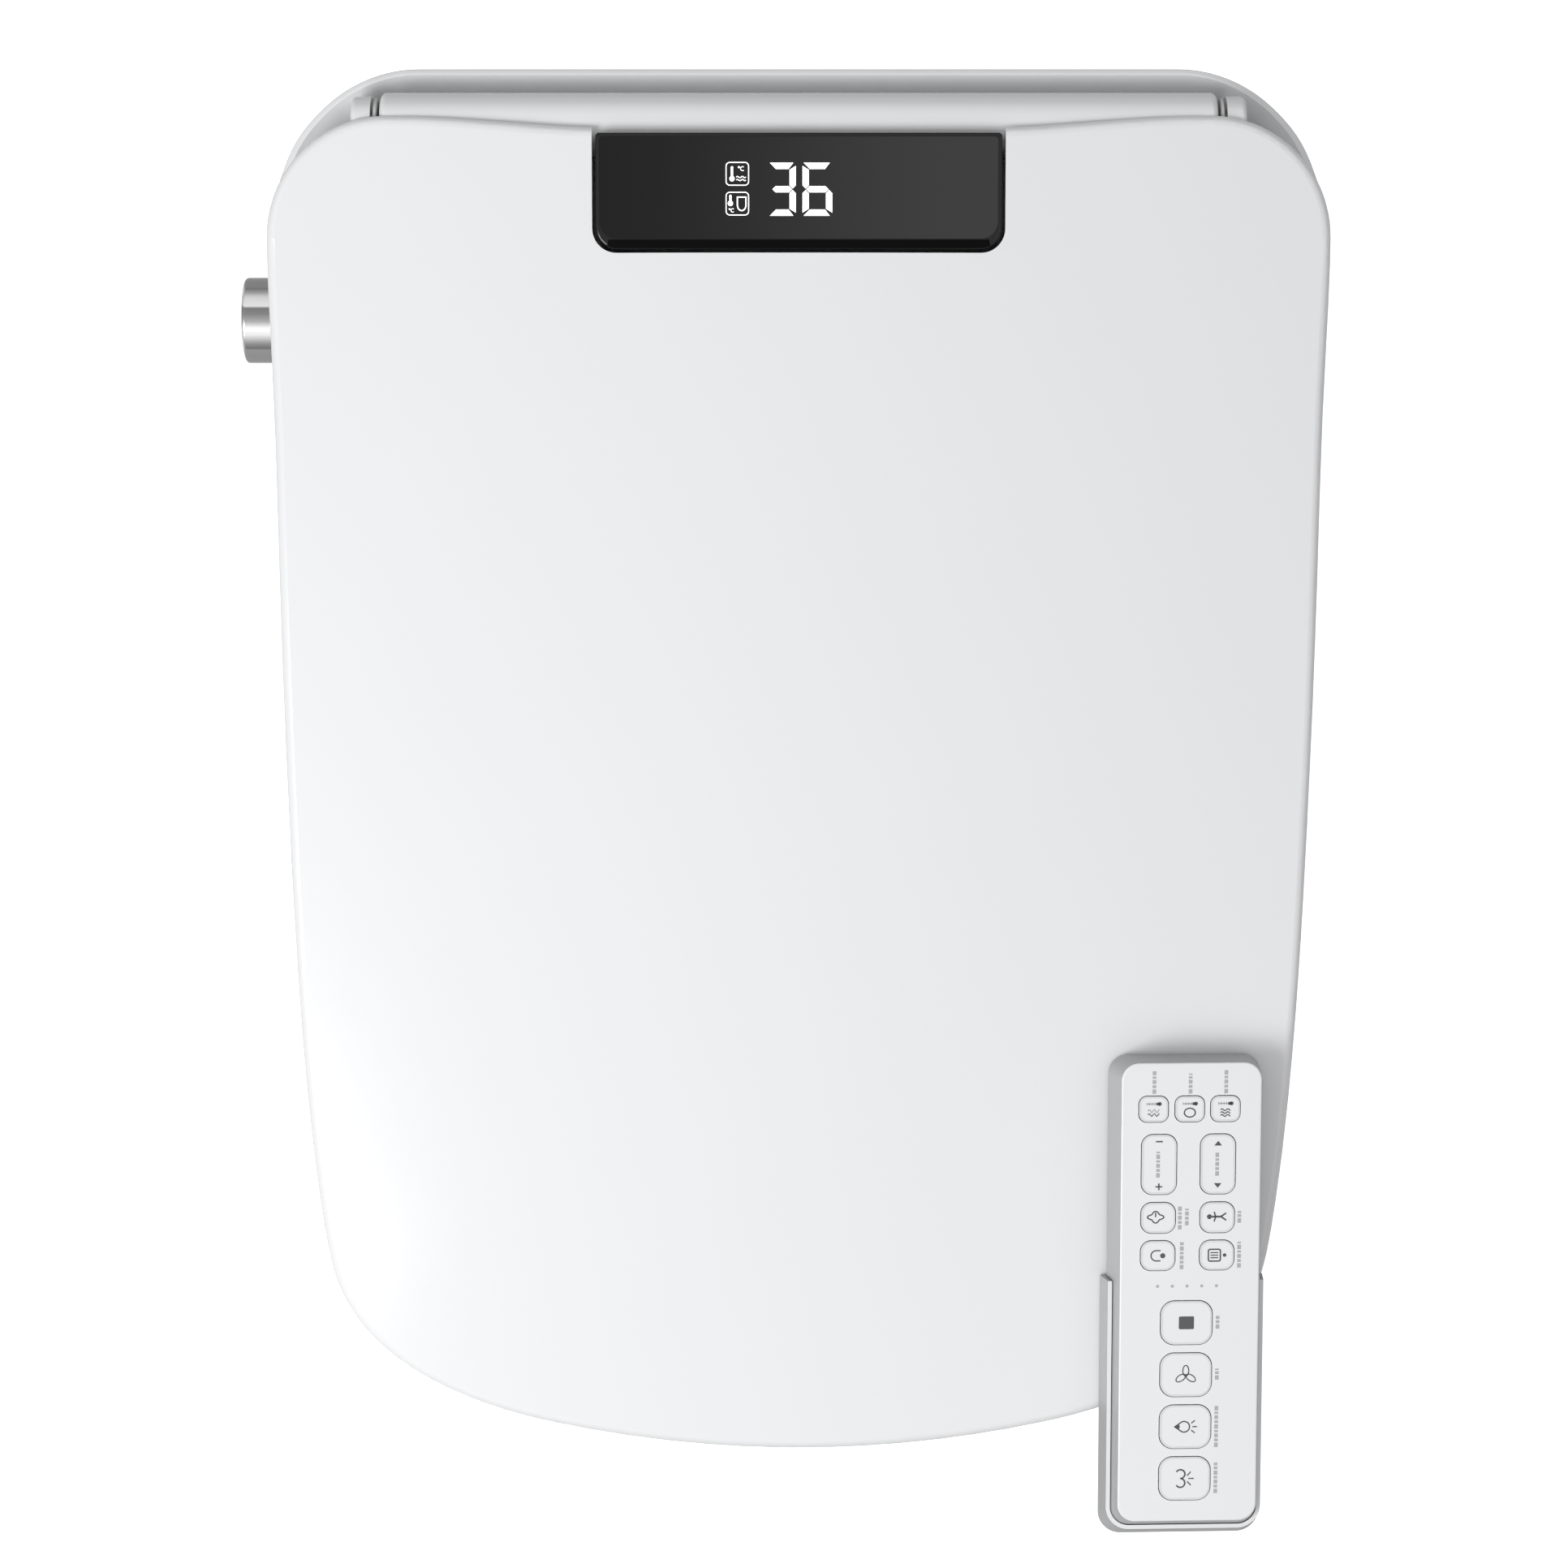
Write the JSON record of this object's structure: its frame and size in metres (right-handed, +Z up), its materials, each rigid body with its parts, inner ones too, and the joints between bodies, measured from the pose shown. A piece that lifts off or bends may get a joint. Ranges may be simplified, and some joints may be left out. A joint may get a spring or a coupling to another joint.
{
  "type": "electric bidet seat",
  "caption": "Electric bidet seat: wedge-shaped housing with a display, heated seat ring, hinged lid, side knob, sliding washing wands, warm-air dryer, and a handset in its holder lying on the lid.",
  "frame": {"origin": "midway between the two fixing bolts, on the plane of the bowl's rim, at the underside of the bracket", "axes": "+X to the right seen from above with the hinge at the top, +Y towards the cistern, +Z up"},
  "size_m": [0.4156, 0.5622, 0.1168],
  "materials": {
    "light_grey": "moulded grey",
    "white_shell": "smooth moulded white, high gloss",
    "steel": "bright steel",
    "display_black": "polished black",
    "display_window": "smoked, polished",
    "display_light": "lit white segments",
    "inner_grey": "moulded grey, unpolished",
    "brass": "turned brass",
    "soft_grey": "soft moulded rubber",
    "board_green": "coated circuit board",
    "lamp_blue": "translucent lens",
    "soft_white": "soft moulded rubber",
    "white_seat": "smooth moulded white, satin gloss",
    "heater_foil": "thin foil with a wire track",
    "chrome": "polished plating",
    "handset_white": "smooth moulded white, soft sheen",
    "signal_grey": "small translucent dots",
    "cell": "printed sleeve",
    "key_white": "smooth moulded white with printed signs"
  },
  "bodies": {
    "case": {"base_chassis": "light_grey", "housing_cover": "white_shell", "seat_pins": "steel", "display_bezel": "display_black", "display_glass": "display_window", "display_digits": "display_light", "knob_encoder": "inner_grey", "wand_cradle": "light_grey", "wand_motors": "steel", "blower_case": "light_grey", "blower_motor": "steel", "dryer_duct": "light_grey", "water_inlet": "brass", "solenoid_valve": "inner_grey", "water_heater": "light_grey", "flow_valve": "light_grey", "hoses": "soft_grey", "control_board": "board_green", "power_board": "board_green", "power_gland": "soft_grey", "night_light": "lamp_blue", "base_feet": "soft_grey", "case_screws": "steel"},
    "lid_pivot": {"lid_rod": "steel"},
    "lid": {"lid_shell": "white_shell", "lid_bumpers": "soft_white"},
    "seat": {"seat_top": "white_seat", "seat_bottom": "white_seat", "seat_heater": "heater_foil", "seat_pads": "soft_white"},
    "knob_shaft": {"knob_spindle": "steel"},
    "knob": {"knob": "chrome"},
    "rear_wand": {"wand_rear": "steel"},
    "front_wand": {"wand_front": "steel"},
    "rear_roller": {"roller_rear": "soft_grey"},
    "front_roller": {"roller_front": "soft_grey"},
    "fan": {"blower_fan": "inner_grey"},
    "bracket": {"mount_bracket": "light_grey"},
    "release": {"release_button": "light_grey"},
    "handset": {"set_front": "handset_white", "set_back": "handset_white", "set_lights": "signal_grey", "set_board": "board_green", "set_cells": "cell", "set_holder": "light_grey"},
    "door": {"battery_door": "handset_white"},
    "key_water_warmth": {"key_water_warmth": "key_white"},
    "key_ring_warmth": {"key_ring_warmth": "key_white"},
    "key_air_warmth": {"key_air_warmth": "key_white"},
    "key_pressure": {"key_pressure": "key_white"},
    "key_position": {"key_position": "key_white"},
    "key_power": {"key_power": "key_white"},
    "key_kids": {"key_kids": "key_white"},
    "key_lamp": {"key_lamp": "key_white"},
    "key_auto": {"key_auto": "key_white"},
    "key_stop": {"key_stop": "key_white"},
    "key_dry": {"key_dry": "key_white"},
    "key_front_wash": {"key_front_wash": "key_white"},
    "key_rear_wash": {"key_rear_wash": "key_white"}
  },
  "joints": [
    {"name": "seat_hinge", "type": "hinge", "parent": "case", "child": "seat", "pos_m": [0, -0.066, 0.05], "axis": [1, 0, 0], "range_deg": [-95, 0]},
    {"name": "lid_shaft_turn", "type": "hinge", "parent": "case", "child": "lid_pivot", "pos_m": [0, 0.0488, 0.099], "axis": [1, 0, 0], "range_deg": [-95, 0]},
    {"name": "lid_hinge", "type": "hinge", "parent": "lid_pivot", "child": "lid", "pos_m": [0, 0.0488, 0.099], "axis": [-1, 0, 0], "range_deg": [0, 105]},
    {"name": "handset_lift", "type": "slide", "parent": "lid", "child": "handset", "axis": [0.0442, -0.1181, 0.992], "range_m": [0, 0.12]},
    {"name": "battery_door_slide", "type": "slide", "parent": "handset", "child": "door", "axis": [0, 0.993, 0.1182], "range_m": [0, 0.03]},
    {"name": "knob_push", "type": "slide", "parent": "case", "child": "knob_shaft", "axis": [1, 0, 0], "range_m": [0, 0.0015], "stiffness_N_per_m": 900},
    {"name": "knob_turn", "type": "hinge", "parent": "knob_shaft", "child": "knob", "pos_m": [-0.2, -0.0184, 0.045], "axis": [-1, 0, 0], "continuous": true},
    {"name": "rear_wand_slide", "type": "slide", "parent": "case", "child": "rear_wand", "axis": [0, -0.9397, -0.342], "range_m": [0, 0.07]},
    {"name": "front_wand_slide", "type": "slide", "parent": "case", "child": "front_wand", "axis": [0, -0.9397, -0.342], "range_m": [0, 0.07]},
    {"name": "rear_roller_turn", "type": "hinge", "parent": "case", "child": "rear_roller", "pos_m": [-0.01, -0.0603, 0.0362], "axis": [1, 0, 0], "range_deg": [-505, 5]},
    {"name": "front_roller_turn", "type": "hinge", "parent": "case", "child": "front_roller", "pos_m": [0.01, -0.0603, 0.0362], "axis": [1, 0, 0], "range_deg": [-505, 5]},
    {"name": "fan_spin", "type": "hinge", "parent": "case", "child": "fan", "pos_m": [0.072, -0.004, 0.048], "axis": [1, 0, 0], "continuous": true},
    {"name": "bracket_slide", "type": "slide", "parent": "case", "child": "bracket", "axis": [0, 1, 0], "range_m": [0, 0.04]},
    {"name": "release_push", "type": "slide", "parent": "case", "child": "release", "axis": [-1, 0, 0], "range_m": [0, 0.003], "stiffness_N_per_m": 500},
    {"name": "water_warmth_press", "type": "slide", "parent": "handset", "child": "key_water_warmth", "axis": [-0.0442, 0.1181, -0.992], "range_m": [0, 0.0008], "stiffness_N_per_m": 1200},
    {"name": "ring_warmth_press", "type": "slide", "parent": "handset", "child": "key_ring_warmth", "axis": [-0.0442, 0.1181, -0.992], "range_m": [0, 0.0008], "stiffness_N_per_m": 1200},
    {"name": "air_warmth_press", "type": "slide", "parent": "handset", "child": "key_air_warmth", "axis": [-0.0442, 0.1181, -0.992], "range_m": [0, 0.0008], "stiffness_N_per_m": 1200},
    {"name": "pressure_press", "type": "slide", "parent": "handset", "child": "key_pressure", "axis": [-0.0442, 0.1181, -0.992], "range_m": [0, 0.0008], "stiffness_N_per_m": 1200},
    {"name": "position_press", "type": "slide", "parent": "handset", "child": "key_position", "axis": [-0.0442, 0.1181, -0.992], "range_m": [0, 0.0008], "stiffness_N_per_m": 1200},
    {"name": "power_press", "type": "slide", "parent": "handset", "child": "key_power", "axis": [-0.0442, 0.1181, -0.992], "range_m": [0, 0.0008], "stiffness_N_per_m": 1200},
    {"name": "kids_press", "type": "slide", "parent": "handset", "child": "key_kids", "axis": [-0.0442, 0.1181, -0.992], "range_m": [0, 0.0008], "stiffness_N_per_m": 1200},
    {"name": "lamp_press", "type": "slide", "parent": "handset", "child": "key_lamp", "axis": [-0.0442, 0.1181, -0.992], "range_m": [0, 0.0008], "stiffness_N_per_m": 1200},
    {"name": "auto_press", "type": "slide", "parent": "handset", "child": "key_auto", "axis": [-0.0442, 0.1181, -0.992], "range_m": [0, 0.0008], "stiffness_N_per_m": 1200},
    {"name": "stop_press", "type": "slide", "parent": "handset", "child": "key_stop", "axis": [-0.0442, 0.1181, -0.992], "range_m": [0, 0.0008], "stiffness_N_per_m": 1200},
    {"name": "dry_press", "type": "slide", "parent": "handset", "child": "key_dry", "axis": [-0.0442, 0.1181, -0.992], "range_m": [0, 0.0008], "stiffness_N_per_m": 1200},
    {"name": "front_wash_press", "type": "slide", "parent": "handset", "child": "key_front_wash", "axis": [-0.0442, 0.1181, -0.992], "range_m": [0, 0.0008], "stiffness_N_per_m": 1200},
    {"name": "rear_wash_press", "type": "slide", "parent": "handset", "child": "key_rear_wash", "axis": [-0.0442, 0.1181, -0.992], "range_m": [0, 0.0008], "stiffness_N_per_m": 1200}
  ],
  "couplings": [
    {"joint": "lid_shaft_turn", "follows": "seat_hinge", "ratio": 1},
    {"joint": "rear_roller_turn", "follows": "rear_wand_slide", "rad_per_m": -125},
    {"joint": "front_roller_turn", "follows": "front_wand_slide", "rad_per_m": -125}
  ]
}
